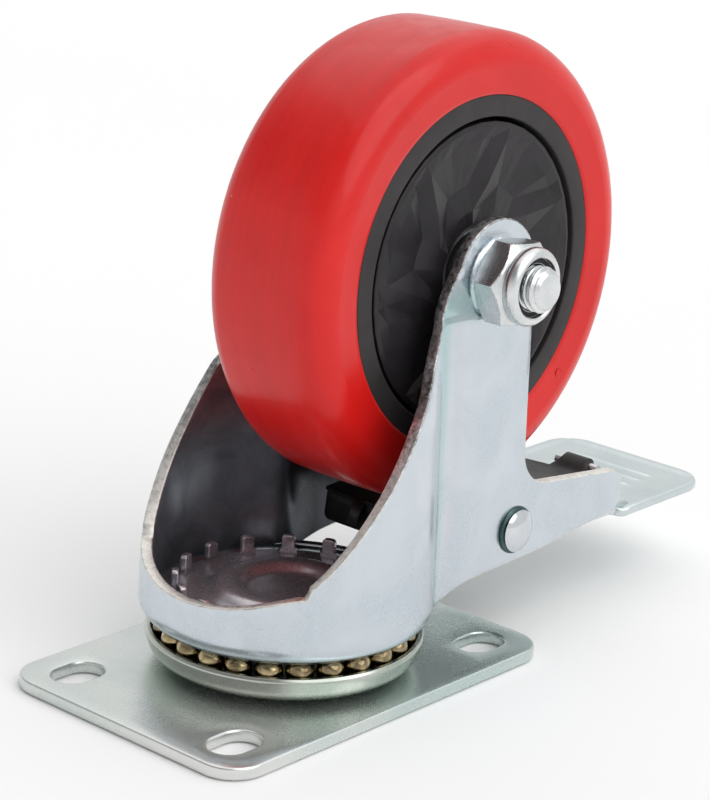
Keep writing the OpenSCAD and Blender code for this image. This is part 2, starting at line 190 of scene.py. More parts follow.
def joined(*parts):
    """Several parts as one, with their tags."""
    verts, faces, tags = [], [], []
    for part in parts:
        start = len(verts)
        verts += list(part[0])
        faces += [tuple(i + start for i in face) for face in part[1]]
        tags += list(part[2]) if len(part) > 2 else [0] * len(part[1])
    return verts, faces, tags


def closed_quads(levels, count):
    """Four-sided faces over levels of count points.
    They close round each level, and from the last level to the first."""
    faces = []
    for i in range(levels):
        here, there = i * count, (i + 1) % levels * count
        for k in range(count):
            after = (k + 1) % count
            faces.append((here + k, here + after, there + after, there + k))
    return faces


def turned(profile, steps, place):
    """A closed profile of (radius, height) turned about an axis.
    place gives a point from radius, angle and height."""
    verts = []
    for k in range(steps):
        a = 2 * math.pi * k / steps
        verts += [place(r, a, h) for r, h in profile]
    return verts, [(a, d, c, b) for a, b, c, d in closed_quads(steps, len(profile))]


def about_swivel(r, a, h):
    return r * math.cos(a), r * math.sin(a), h


def about_axle(r, a, h):
    """height counts towards the near side"""
    return AXLE_X + r * math.cos(a), -h, AXLE_Z + r * math.sin(a)


def about_pivot(r, a, h):
    return PIVOT_X + r * math.cos(a), -h, PIVOT_Z + r * math.sin(a)


def mirrored(part):
    """The same part on the other side of the centre plane."""
    verts = [(x, -y, z) for x, y, z in part[0]]
    return (verts, [tuple(reversed(face)) for face in part[1]], *part[2:])


def polar_solid(radius, heights, steps, place, phase=0.0):
    """A solid whose radius depends on angle and height, closed by flat ends."""
    verts, faces = [], []
    for h in heights:
        for k in range(steps):
            a = phase + 2 * math.pi * k / steps
            verts.append(place(radius(a, h), a, h))
    for i in range(len(heights) - 1):
        for k in range(steps):
            a, b = i * steps + k, i * steps + (k + 1) % steps
            faces.append((a, b, b + steps, a + steps))
    faces.append(tuple(range(steps)))
    faces.append(tuple(range(len(heights) * steps - steps, len(heights) * steps)))
    return verts, faces


def sheet_solid(outline, surface, thickness, us, vs, holes=(), rim=0.3, extra=(), gap=0.45):
    """Sheet metal: a flat outline carried onto a surface and given its thickness and rounded edges.
    surface turns arrays u and v into points. The thickness goes against the surface's normal."""
    loops = [anticlockwise(outline)] + [anticlockwise(h)[::-1] for h in holes]
    inner = [inset(loop, rim) for loop in loops]
    seeds = np.array([(u, v) for u in us for v in vs] + list(extra), float)
    keep = encloses(inner[0], seeds)
    for loop in inner[1:]:
        keep &= ~encloses(loop, seeds)
    for loop in inner:
        keep &= clear_of(loop, seeds, gap)
    coords, edges = [], []
    for loop in inner:
        start = len(coords)
        coords += [Vector(p) for p in loop]
        edges += [(start + i, start + (i + 1) % len(loop)) for i in range(len(loop))]
    coords += [Vector(p) for p in seeds[keep]]
    flat, _, triangles, origin, _, _ = delaunay_2d_cdt(coords, edges, [], 2, 1e-7, True)
    index = {}
    for out, sources in enumerate(origin):
        for source in sources:
            index[source] = out
    flat = np.array([tuple(p) for p in flat])
    centres = np.array([flat[list(t)].mean(0) for t in triangles])
    solid = encloses(inner[0], centres)
    for loop in inner[1:]:
        solid &= ~encloses(loop, centres)
    triangles = [tuple(t) for t, keep_it in zip(triangles, solid) if keep_it]

    def lifted(uv, depth):
        u, v = uv[:, 0], uv[:, 1]
        e = 0.02
        along = surface(u + e, v) - surface(u - e, v)
        across = surface(u, v + e) - surface(u, v - e)
        normal = np.cross(along, across)
        normal /= np.linalg.norm(normal, axis=1)[:, None]
        return surface(u, v) - depth * normal

    count = len(flat)
    verts = [tuple(p) for p in lifted(flat, 0)] + [tuple(p) for p in lifted(flat, thickness)]
    faces = triangles + [tuple(count + i for i in reversed(t)) for t in triangles]
    turns = np.radians([30, 60, 90])
    rings = [(rim * (1 - math.sin(a)), rim * (1 - math.cos(a))) for a in turns]
    rings += [(gap_in, thickness - depth) for gap_in, depth in reversed(rings)]
    start = 0
    for loop in loops:
        n = len(loop)
        levels = [[index[start + i] for i in range(n)]]
        for gap_in, depth in rings:
            first = len(verts)
            verts += [tuple(p) for p in lifted(inset(loop, gap_in), depth)]
            levels.append([first + i for i in range(n)])
        levels.append([count + index[start + i] for i in range(n)])
        for upper, lower in zip(levels, levels[1:]):
            for i in range(n):
                j = (i + 1) % n
                faces.append((upper[i], lower[i], lower[j], upper[j]))
        start += n
    tags = [0] * len(triangles) + [1] * len(triangles) + [2] * (len(faces) - 2 * len(triangles))
    return verts, faces, tags


def flat_at(y):
    """A surface for outlines in X and Z that stand at one place along Y and face the near side."""
    return lambda u, v: np.stack([u, np.full_like(u, y), v], 1)


def spaced(low, high, step):
    return np.linspace(low, high, max(2, int(round((high - low) / step)) + 1))


# ---------- materials ----------


class Look:
    """A small helper to write a material's node tree."""

    def __init__(self, name, **sockets):
        self.material = bpy.data.materials.new(name)
        self.material.use_nodes = True
        self.tree = self.material.node_tree
        self.shader = self.tree.nodes["Principled BSDF"]
        for key, value in sockets.items():
            self.shader.inputs[key.replace("_", " ")].default_value = value
        self.where = self.add("ShaderNodeTexCoord").outputs["Object"]

    def add(self, kind, **settings):
        node = self.tree.nodes.new(kind)
        for key, value in settings.items():
            setattr(node, key, value)
        return node

    def link(self, source, target):
        self.tree.links.new(source, target)

    def stretched(self, scale):
        node = self.add("ShaderNodeMapping")
        node.inputs["Scale"].default_value = scale
        self.link(self.where, node.inputs["Vector"])
        return node.outputs["Vector"]

    def noise(self, scale, detail=4.0, rough=0.55, vector=None, warp=0.0):
        node = self.add("ShaderNodeTexNoise")
        node.inputs["Scale"].default_value = scale
        node.inputs["Detail"].default_value = detail
        node.inputs["Roughness"].default_value = rough
        node.inputs["Distortion"].default_value = warp
        self.link(vector or self.where, node.inputs["Vector"])
        return node.outputs["Fac"]

    def specks(self, scale, size):
        """1 in small scattered spots, 0 elsewhere"""
        cells = self.add("ShaderNodeTexVoronoi")
        cells.inputs["Scale"].default_value = scale
        self.link(self.where, cells.inputs["Vector"])
        return self.ramp(cells.outputs["Distance"], [(0.0, 1.0), (size, 0.0)])

    def along(self, axis):
        """The place along X, Y or Z, in metres"""
        split = self.add("ShaderNodeSeparateXYZ")
        self.link(self.where, split.inputs[0])
        return split.outputs[axis]

    def band(self, axis, place, half):
        """1 at a place along an axis, fading to 0 over a half width, with an uneven border"""
        wander = self.math("MULTIPLY", self.noise(45.0, 3.0, 0.5), half * MM)
        off = self.math("SUBTRACT", self.math("ADD", self.along(axis), wander), (place + half / 2) * MM)
        share = self.math("DIVIDE", self.math("ABSOLUTE", off), half * MM)
        return self.ramp(share, [(0.0, 1.0), (0.35, 0.8), (1.0, 0.0)])

    def ramp(self, value, stops):
        """A value or colour looked up from stops of (place, value or colour)."""
        node = self.add("ShaderNodeValToRGB")
        while len(node.color_ramp.elements) < len(stops):
            node.color_ramp.elements.new(0.5)
        for element, (place, colour) in zip(node.color_ramp.elements, stops):
            element.position = place
            tone = (colour,) * 3 if isinstance(colour, float) else colour
            element.color = (*tone, 1.0)
        self.link(value, node.inputs["Fac"])
        return node.outputs["Color"]

    def mix(self, share, first, second, blend="MIX"):
        node = self.add("ShaderNodeMix", data_type="RGBA", blend_type=blend)
        for socket, value in ((node.inputs[0], share), (node.inputs[6], first), (node.inputs[7], second)):
            if isinstance(value, (float, tuple)):
                socket.default_value = value if isinstance(value, float) else (*value, 1.0)
            else:
                self.link(value, socket)
        return node.outputs[2]

    def math(self, operation, first, second=0.0):
        node = self.add("ShaderNodeMath", operation=operation)
        for socket, value in ((node.inputs[0], first), (node.inputs[1], second)):
            if isinstance(value, float):
                socket.default_value = value
            else:
                self.link(value, socket)
        return node.outputs[0]

    def colour(self, value):
        self.link(value, self.shader.inputs["Base Color"])

    def roughness(self, value):
        self.link(value, self.shader.inputs["Roughness"])

    def bump(self, height, strength, distance):
        node = self.add("ShaderNodeBump")
        node.inputs["Strength"].default_value = strength
        node.inputs["Distance"].default_value = distance
        self.link(height, node.inputs["Height"])
        self.link(node.outputs["Normal"], self.shader.inputs["Normal"])


def zinc(name, pale, cool, rough_low, rough_high, clouds=60.0, dents=0.16, bands=(), metal=1.0, dirt=0.22):
    """Zinc plating on sheet: two tones in soft clouds, fine specks and faint handling marks.
    bands are (axis, place, half width, colour, share) of tinted bands along an axis, in millimetres: the
    passivation's rainbow tint, and also painted shade and a painted reflection."""
    look = Look(name, Metallic=metal)
    cloud = look.noise(clouds, 5.0, 0.6, warp=0.6)
    fine = look.noise(1400.0, 3.0, 0.7)
    marks = look.noise(420.0, 6.0, 0.75, look.stretched((1.0, 1.0, 2.5)), 1.5)
    tone = look.mix(look.ramp(cloud, [(0.35, 0.0), (0.68, 1.0)]), pale, cool)
    stain = look.ramp(marks, [(0.30, 0.55), (0.40, 1.0)])
    tone = look.mix(0.35, tone, stain, "MULTIPLY")
    for axis, place, half, colour, share in bands:
        tone = look.mix(look.math("MULTIPLY", look.band(axis, place, half), share), tone, colour)
    grime = look.specks(230.0, 0.04)
    tone = look.mix(look.math("MULTIPLY", grime, dirt), tone, (0.25, 0.25, 0.24))
    look.colour(tone)
    broad = look.ramp(cloud, [(0.3, rough_low), (0.7, rough_high)])
    uneven = look.ramp(fine, [(0.3, 0.9), (0.7, 1.1)])
    look.roughness(look.math("MULTIPLY", broad, uneven))
    waves = look.noise(26.0, 2.0, 0.5)
    height = look.math("ADD", look.math("MULTIPLY", waves, 1.0), look.math("MULTIPLY", marks, 0.015))
    look.bump(height, dents, 0.0006)
    return look.material


def steel(name, tone, dark, rough):
    look = Look(name, Metallic=1.0)
    cloud = look.noise(180.0, 4.0, 0.6)
    look.colour(look.mix(look.ramp(cloud, [(0.3, 0.0), (0.75, 1.0)]), tone, dark))
    turning = look.noise(900.0, 2.0, 0.6, look.stretched((0.2, 6.0, 0.2)))
    look.roughness(look.ramp(turning, [(0.2, rough * 0.8), (0.8, rough * 1.3)]))
    look.bump(turning, 0.08, 0.0001)
    return look.material


def cut_edge(name, tone, dark, pale):
    """Bare sheared edge of the sheet: streaked and speckled, and darker and more spotted higher up."""
    look = Look(name, Metallic=1.0)
    streak = look.noise(900.0, 4.0, 0.75)
    broad = look.noise(160.0, 3.0, 0.6)
    mixed = look.math("MULTIPLY", streak, look.math("ADD", broad, 0.5))
    spotted = look.mix(look.ramp(mixed, [(0.36, 0.0), (0.66, 1.0)]), dark, tone)
    low_edge_tone = look.mix(look.ramp(mixed, [(0.30, 0.0), (0.55, 1.0)]), (0.56, 0.55, 0.52), pale)
    height = look.ramp(look.along("Z"), [(0.036, 0.0), (0.060, 1.0)])
    look.colour(look.mix(height, low_edge_tone, spotted))
    look.roughness(look.ramp(streak, [(0.2, 0.28), (0.8, 0.6)]))
    look.bump(streak, 0.6, 0.0002)
    return look.material


def red_tyre():
    look = Look("polyurethane_red", Specular_IOR_Level=0.3, Coat_Weight=0.22, Coat_Roughness=0.1,
                Subsurface_Weight=0.08, Subsurface_Scale=0.003)
    look.shader.inputs["Subsurface Radius"].default_value = (1.0, 0.25, 0.2)
    cloud = look.noise(34.0, 4.0, 0.6, warp=0.8)
    lanes = look.noise(420.0, 3.0, 0.6, look.stretched((0.05, 1.0, 0.05)))
    tone = look.mix(look.ramp(cloud, [(0.32, 0.0), (0.7, 1.0)]), (0.62, 0.005, 0.004), (0.70, 0.012, 0.009))
    tone = look.mix(0.25, tone, look.ramp(lanes, [(0.35, 0.72), (0.6, 1.0)]), "MULTIPLY")
    dust = look.specks(95.0, 0.028)
    look.colour(look.mix(look.math("MULTIPLY", dust, 0.6), tone, (0.85, 0.62, 0.58)))
    scuff = look.noise(130.0, 5.0, 0.65, warp=1.0)
    look.roughness(look.ramp(scuff, [(0.3, 0.27), (0.7, 0.42)]))
    height = look.math("ADD", look.math("MULTIPLY", cloud, 1.0), look.math("MULTIPLY", lanes, 0.25))
    look.bump(height, 0.25, 0.0004)
    return look.material


def moulded_black(name, tone, lift, rough):
    """Black moulded plastic with a fine grain, paler rubbed patches and a little dust."""
    look = Look(name, Specular_IOR_Level=0.27)
    grain = look.noise(1500.0, 2.0, 0.5)
    patch = look.noise(70.0, 5.0, 0.65, warp=0.7)
    base = look.mix(look.ramp(patch, [(0.4, 0.0), (0.75, 1.0)]), tone, lift)
    dust = look.specks(120.0, 0.03)
    look.colour(look.mix(look.math("MULTIPLY", dust, 0.5), base, (0.5, 0.5, 0.48)))
    look.roughness(look.ramp(patch, [(0.3, rough), (0.75, rough + 0.12)]))
    look.bump(grain, 0.15, 0.0001)
    return look.material


def greased():
    look = Look("greased_steel", Metallic=1.0, Coat_Weight=0.8, Coat_Roughness=0.12)
    film = look.noise(260.0, 4.0, 0.6, warp=1.2)
    look.colour(look.ramp(film, [(0.34, (0.10, 0.065, 0.025)), (0.66, (0.50, 0.40, 0.21))]))
    look.roughness(look.ramp(film, [(0.3, 0.22), (0.7, 0.12)]))
    look.bump(film, 0.02, 0.0002)
    return look.material


def black_oxide():
    look = Look("black_oxide_spring", Specular_IOR_Level=0.35)
    film = look.noise(150.0, 5.0, 0.65, warp=0.6)
    look.colour(look.ramp(film, [(0.3, (0.006, 0.006, 0.006)), (0.7, (0.018, 0.017, 0.016))]))
    look.roughness(look.ramp(film, [(0.3, 0.32), (0.7, 0.5)]))
    look.bump(look.noise(900.0, 2.0, 0.5), 0.15, 0.0001)
    return look.material


TEAL, PLUM = (0.38, 0.56, 0.55), (0.60, 0.58, 0.64)
SHADE = (0.03, 0.03, 0.033)
# Painted shade: the teal bands darken the bend where the cup turns into the flat leg (X 20.4) and the joggle below
# the axle head (Z 80); the faint plum band beside the bend is the passivation's tint.
FORK_TINT_AND_SHADE_BANDS = [("X", 20.4, 2.4, TEAL, 0.65), ("X", 25.5, 2.5, PLUM, 0.25), ("Z", 80.0, 5.0, TEAL, 0.75)]
FORK_ZINC = zinc("zinc_blue_fork", (0.63, 0.68, 0.72), (0.55, 0.615, 0.66), 0.19, 0.31, bands=FORK_TINT_AND_SHADE_BANDS)
# Painted shade: the fork's inside faces get darker tones than the outside, and near-black bands along the flat
# legs, for the shade inside the cup.
INNER_SHADE_BANDS = [("X", 27.0, 14.0, SHADE, 0.95), ("X", 50.0, 32.0, SHADE, 0.95)]
SHADED_INNER_ZINC = zinc("zinc_inside_painted_shade", (0.42, 0.45, 0.50), (0.20, 0.22, 0.25), 0.28, 0.40,
                  clouds=75.0, metal=0.85, bands=INNER_SHADE_BANDS)
PEDAL_ZINC = zinc("zinc_blue_pedal", (0.66, 0.715, 0.72), (0.56, 0.63, 0.635), 0.28, 0.38)
# Darker and greener towards +X: the passivation's green tint together with a painted darker reflection of the
# castor standing over the plate.
PLATE_TINT_AND_REFLECTION_BAND = [("X", 25.0, 55.0, (0.46, 0.58, 0.56), 0.7)]
PLATE_ZINC = zinc("zinc_satin_plate", (0.74, 0.745, 0.73), (0.60, 0.66, 0.635), 0.22, 0.32,
                  clouds=28.0, metal=0.85, bands=PLATE_TINT_AND_REFLECTION_BAND)
DISH_ZINC = zinc("zinc_satin_dish", (0.60, 0.61, 0.56), (0.38, 0.44, 0.38), 0.20, 0.30, clouds=45.0)
CLAW_ZINC = zinc("zinc_greased_claw", (0.60, 0.56, 0.59), (0.40, 0.37, 0.40), 0.22, 0.32,
                 clouds=90.0, metal=0.8, dirt=0.03)
FASTENER = steel("bright_zinc_fastener", (0.78, 0.79, 0.79), (0.58, 0.61, 0.62), 0.27)
RIVET = steel("bright_zinc_rivet", (0.70, 0.72, 0.75), (0.52, 0.56, 0.58), 0.12)
# Painted shade: the washers under the rivet heads are near-black teal, for the shadowed gap round the rivet.
WASHER_GAP_SHADE = steel("washer_painted_gap_shade", (0.10, 0.16, 0.16), (0.03, 0.055, 0.055), 0.3)
PLAIN_STEEL = steel("turned_steel", (0.66, 0.67, 0.69), (0.48, 0.49, 0.5), 0.3)
BEARING_STEEL = steel("bearing_steel", (0.72, 0.73, 0.75), (0.6, 0.61, 0.63), 0.12)
BRASS = steel("cage_brass", (0.62, 0.48, 0.24), (0.45, 0.34, 0.16), 0.3)
EDGE = cut_edge("sheared_edge", (0.66, 0.66, 0.66), (0.14, 0.135, 0.135), (0.82, 0.80, 0.76))
TYRE_RED = red_tyre()
HUB_GREY = moulded_black("polypropylene_ring", (0.026, 0.023, 0.023), (0.045, 0.041, 0.041), 0.42)
COVER_BLACK = moulded_black("polypropylene_cover", (0.016, 0.014, 0.016), (0.026, 0.023, 0.026), 0.27)
NYLON = moulded_black("nylon_dark", (0.012, 0.012, 0.013), (0.03, 0.03, 0.03), 0.5)
GREASED = greased()
BLACK = black_oxide()

# ---------- fork ----------

fork_low, fork_high = node_box("fork")
FORK_T = 2.5
CUP_R = -fork_low[0]
CUP_DRAFT = 1.4 / 61.0             # how much the wall leans in, for each millimetre of height
FLOOR_Z = fork_low[2]
FOOT_R = 4.0                       # outer round between the wall and the floor
FOOT_Z = FLOOR_Z + FOOT_R
LEG_Y = 22.0                       # outer face of the lower legs
HEAD_IN = 1.0                      # how far the leg leans in by the axle
BEND = math.acos(-20.4 / CUP_R)    # angle round the cup where the flat leg begins
BEND_U = CUP_R * BEND
BOSS_R = 8.2
HEAD_R = 12.5
ARM_TIP = fork_high[0]


def ease(t):
    t = np.clip(t, 0, 1)
    return t * t * (3 - 2 * t)


def cup_radius(z):
    return CUP_R - CUP_DRAFT * np.maximum(z - FOOT_Z, 0)


def fork_plan(u, z):
    """Outer face of the sheet, seen from above, at a distance u round it from the front and at height z."""
    phi = np.minimum(u / CUP_R, BEND)
    radius = cup_radius(z)
    x = -radius * np.cos(phi) + np.maximum(u - BEND_U, 0)
    reach = np.sqrt(np.maximum(radius ** 2 - x ** 2, 0.0))
    bulge = 1 - ease((z - 59.0) / 18.0)
    over = reach - LEG_Y
    soft = 0.5 * (over + np.sqrt(over ** 2 + 0.5))
    legs = LEG_Y + bulge * soft
    y = np.where(u < CUP_R * 0.9, radius * np.sin(phi), legs)
    lean = HEAD_IN * (0.55 * ease((z - 76.3) / 1.3) + 0.45 * ease((z - 77.0) / 8.0))
    rho = np.hypot(x - AXLE_X, z - AXLE_Z)
    boss = HEAD_IN * (1 - ease((rho - BOSS_R + 0.2) / 0.9))
    flat = ease((x - 12.0) / 8.0)
    return x, y - flat * np.where(boss > 0, lean * (1 - boss), lean)


def fork_surface(u, v):
    """The outer face, near side for positive u.
    Below FOOT_Z, v runs down round the cup's foot and under it."""
    side = np.where(u < 0, -1.0, 1.0)
    u = np.abs(u)
    top = np.maximum(v, FOOT_Z)
    curl = 1 - ease((u - BEND_U + 0.5) / 5.0)
    z_leg = np.where(u > BEND_U - 0.5, v, top)
    x, y = fork_plan(u, np.where(curl < 1, np.maximum(z_leg, FOOT_Z - 3), top))
    angle = np.clip((FOOT_Z - v) / FOOT_R, 0, math.pi / 2)
    under = np.maximum(FOOT_Z - v - FOOT_R * math.pi / 2, 0)
    inward = curl * (FOOT_R * (1 - np.cos(angle)) + under)
    phi = np.minimum(u / CUP_R, BEND)
    z_round = np.where(v < FOOT_Z, FOOT_Z - FOOT_R * np.sin(angle), v)
    z = curl * z_round + (1 - curl) * v
    return np.stack([x + inward * np.cos(phi), -side * (y - inward * np.sin(phi)), z], -1)


def fork_u(x, z):
    """Distance round the sheet of a place given by X and height."""
    radius = float(cup_radius(np.array(z)))
    bend_x = -radius * math.cos(BEND)
    if x < bend_x:
        return CUP_R * math.acos(max(-1.0, min(1.0, -x / radius)))
    return BEND_U + x - bend_x


def fork_half_outline():
    """Near half of the fork's outline as X and height: the lip, the leg, its head and the arm."""
    lip = smooth([(-CUP_R, 23.5), (-30.2, 23.7), (-28.6, 24.4), (-25.8, 25.7), (-22.6, 27.0),
                  (-20.4, 27.6)], 0.8)
    notch = [(-19.6, 27.6), (-19.1, 28.4), (-18.7, 29.9)]
    edge = smooth([(-18.2, 30.3), (-15.6, 33.1), (-13.0, 36.1), (-9.6, 40.2), (-6.3, 44.2), (-3.1, 48.1),
                   (-0.1, 52), (2.9, 56), (6.4, 60.7), (10.3, 63.7), (14.1, 66.7), (17.0, 69.9),
                   (18.7, 73.8), (19.6, 77.4), (21.6, 81.9), (24.2, 85.6)], 1.0)
    head = arc((AXLE_X, AXLE_Z), HEAD_R, 163, 0, 26)
    fillet = arc((AXLE_X + HEAD_R + 8.9, 43.2), 8.9, 180, 260, 9)
    tip = arc((ARM_TIP - 4.4, 27), 4.4, 80, 0, 7) + arc((ARM_TIP - 4.7, 25.6), 4.7, 0, -75, 7)
    under = smooth([(ARM_TIP - 3.6, 20.9), (79, 20.85), (73, 20.5), (64.5, 19.6), (56, 18.8), (45, 18.3),
                    (36, 18.0), (31, 17.5), (27, 16.6)], 1.5)
    return lip + notch + edge + head + fillet + tip + under


def fork_outline():
    near = [(fork_u(x, z), z) for x, z in fork_half_outline()]
    near += [(BEND_U + 3.2, 15.4), (BEND_U + 1.4, 14.2), (BEND_U - 0.2, 12.6), (BEND_U - 1.6, 10.8),
             (BEND_U - 3.4, 9.7)]
    near += [(u, 9.6) for u in spaced(BEND_U - 6, 0.0, 1.6)]
    return near + [(-u, v) for u, v in reversed(near) if u > 0.01]


def fork_piece():
    bend = [BEND_U + d for d in np.arange(-3.5, 3.6, 0.5)]
    half = list(spaced(0.8, BEND_U - 4.2, 1.7)) + bend + list(spaced(BEND_U + 5, BEND_U + 66, 2.2))
    us = sorted([-u for u in half] + half)
    vs = list(np.arange(10.2, 17.6, 0.55)) + list(spaced(18.5, 74.5, 1.9))
    vs += list(np.arange(75.2, 80.2, 0.45)) + list(spaced(81, 95, 1.4))
    boss = []
    bend_x = -float(cup_radius(np.array(AXLE_Z))) * math.cos(BEND)
    for r in np.arange(BOSS_R - 1.2, BOSS_R + 2.0, 0.33):
        for x, z in arc((AXLE_X, AXLE_Z), r, 0, 352.5, 47):
            boss += [(BEND_U + x - bend_x, z), (-BEND_U - x + bend_x, z)]
    shell = sheet_solid(fork_outline(), fork_surface, FORK_T, us, vs, rim=0.32, extra=boss, gap=0.4)
    inner = CUP_R - 0.04
    hole, base_top = 8.4, 17.5
    base = rounded([(hole, FLOOR_Z + 0.05, 0.3), (inner, FLOOR_Z + 0.05, FOOT_R - 0.05),
                    (inner, base_top, 0.5), (inner - 2.4, base_top, 0.5),
                    (inner - 2.4, FLOOR_Z + 2.4, 1.5), (hole, FLOOR_Z + 2.4, 0.4)], 7)
    part = joined(shell, turned(base, 120, about_swivel))
    # The inside faces take the zinc with painted shade; the cut edges take the sheared edge.
    piece("fork_pressing", part, (FORK_ZINC, SHADED_INNER_ZINC, EDGE), "fork", ["fork"], crease=50)


fork_piece()

# ---------- wheel ----------

tyre_high = node_box("tyre")[1]
WHEEL_R = tyre_high[2] - AXLE_Z
TREAD_HALF = tyre_high[1]
CORE_R = 37.1
CORE_HALF = 15.5
SEAT_R = 32.5                      # inner edge of the visible hub ring
COVER_R = 31.5


def tyre_profile():
    """Right half from the bead to the tread's middle, mirrored across the centre plane."""
    half = [(CORE_R, 12.0), (CORE_R, CORE_HALF - 0.1), (CORE_R + 0.35, CORE_HALF + 0.12)]
    half += smooth([(CORE_R + 1.0, CORE_HALF + 0.2), (40, 15.85), (43.1, TREAD_HALF)], 0.8)
    half += arc((WHEEL_R - 6.9, TREAD_HALF - 6.9), 6.9, 90, 12, 16)
    half += [(WHEEL_R - 0.06, TREAD_HALF - 9.6), (WHEEL_R - 0.02, TREAD_HALF - 12), (WHEEL_R, 3.0)]
    return half + [(r, -h) for r, h in reversed(half)]


def mould_mark(r_mid, angle, size, wire):
    """Small raised ring that the mould leaves on the side wall."""
    cx, cz = r_mid * math.cos(angle), r_mid * math.sin(angle)
    rise = CORE_HALF + 0.2 + (r_mid - 38.1) * 0.085
    verts = []
    n, m = 32, 8
    for i in range(n):
        t = 2 * math.pi * i / n
        for j in range(m):
            b = 2 * math.pi * j / m
            out = size + wire * math.cos(b)
            verts.append((AXLE_X + cx + out * math.cos(t), -(rise + wire * math.sin(b)),
                          AXLE_Z + cz + out * math.sin(t)))
    return verts, closed_quads(n, m)


MARK_R, MARK_ANGLE = 41.0, math.radians(-42.4)   # the ring mark's place on the side wall
MARK_SIZE, MARK_WIRE = 0.95, 0.12
mark = mould_mark(MARK_R, MARK_ANGLE, MARK_SIZE, MARK_WIRE)
tyre_part = joined(turned(tyre_profile(), 240, about_axle), mark)
piece("tyre_tread", tyre_part, TYRE_RED, "wheel", ["tyre"], crease=45)

web_half = [(CORE_R, CORE_HALF, 0.35), (SEAT_R, CORE_HALF, 0.45), (SEAT_R, 3, 0.8), (20.5, 3, 0.8),
            (20.5, 13.5, 0.4), (16, 13.5, 0.2), (16, 3.6, 0), (13.5, 3.6, 0)]
web = rounded(web_half + [(r, -h, c) for r, h, c in reversed(web_half)], 4)
piece("hub_moulding", turned(web, 180, about_axle), HUB_GREY, "wheel", ["hub_core"])

STAR_N = 7                         # sectors of the cover's faceted relief
STAR_TURN = 160.0                  # where the middle of one petal points, in degrees
COVER_FACE = 15.15
COVER_BACK = 13.55


def star_cover():
    """Cover with a gem-like relief: petals that dip towards the middle, with ridged arms between them."""
    pitch = 360 / STAR_N

    def level(angles, depth):
        return [(angle, depth) for angle in (*angles, pitch / 2)]

    wide, narrow = (-17, -8, 0, 8, 17), (-9.5, -4, 0, 4, 9.5)
    # each ring: radius, then (angle from the petal's middle, depth below the face) round one sector
    rings = [
        (COVER_R - 0.3, level(wide, 0.1)),
        (COVER_R - 1.0, level(wide, 0.0)),
        (27.8, [(-18, 0.0), (-7, 0.25), (2, 0.45), (9, 0.2), (17, 0.0), (pitch / 2, 0.9)]),
        (18.6, [(-10, 1.4), (-4, 1.45), (0, 1.45), (4, 1.45), (10, 1.4), (pitch / 2, 0.0)]),
        (13.4, [(-10, 0.2), (-4, 0.25), (0, 0.3), (4, 0.25), (10, 0.2), (pitch / 2, 1.1)]),
        (10.4, level(narrow, 0.2)),
        (9.4, level(narrow, 0.5)),
    ]
    verts, faces = [], []
    for r, sector in rings:
        for k in range(STAR_N):
            for angle, depth in sector:
                a = math.radians(STAR_TURN + k * pitch + angle)
                verts.append(about_axle(r, a, COVER_FACE - depth))
    for r, h in ((9.4, COVER_BACK), (COVER_R, COVER_BACK - 0.9), (COVER_R, COVER_FACE - 0.25)):
        for k in range(STAR_N):
            for angle, _ in rings[0][1]:
                verts.append(about_axle(r, math.radians(STAR_TURN + k * pitch + angle), h))
    per_level = STAR_N * len(rings[0][1])
    for a, b, c, d in closed_quads(len(verts) // per_level, per_level):
        faces += [(a, b, c), (a, c, d)]
    return verts, faces


near_cover = star_cover()
for side, part in (("near", near_cover), ("far", mirrored(near_cover))):
    piece(f"star_cover_{side}", part, COVER_BLACK, "wheel", [f"hub_cover_{side}"],
          crease=1.5)

# ---------- axle bolt and lock nut ----------

NUT_Y = 22.0                       # outer face of the boss that the nut sits on
HEX_AF = 17.0
NUT_TURN = math.radians(-6)
HEX_H = 6.4
BOLT_R = 5.0
BOLT_END = -node_box("axle_bolt")[0][1]
THREAD = 1.5                       # pitch


def hex_radius(angle):
    folded = angle % (math.pi / 3) - math.pi / 6
    return HEX_AF / 2 / math.cos(folded)


def lock_nut():
    """Hexagon with chamfered corners, a crimped collar and the recess for the nylon ring."""
    collar = [(8.15, 6.3), (7.95, 6.6), (8.05, 7.0), (8.25, 7.5), (8.28, 8.1), (8.05, 8.8), (7.6, 9.35),
              (7.05, 9.7), (6.6, 9.78), (6.3, 9.55), (6.22, 9.0), (6.22, 8.6)]
    steps = 180
    heights = [0.0, 0.15, 0.3, 0.5, 0.7, 0.9, 2.0, 3.5, 4.8, 5.1, 5.35, 5.6, 5.85, 6.05, 6.2, 6.3]

    def radius(angle, h):
        chamfer = min(8.45 + 1.6 * h, 7.95 + 1.25 * max(HEX_H - h, 0))
        return min(hex_radius(angle), chamfer)

    verts = []
    for h in heights:
        for k in range(steps):
            a = 2 * math.pi * k / steps
            verts.append(about_axle(radius(a, h), a + NUT_TURN, NUT_Y + h))
    for r, h in collar + [(5.05, 8.6), (5.05, 0.0)]:
        for k in range(steps):
            verts.append(about_axle(r, 2 * math.pi * k / steps + NUT_TURN, NUT_Y + h))
    return verts, closed_quads(len(verts) // steps, steps)


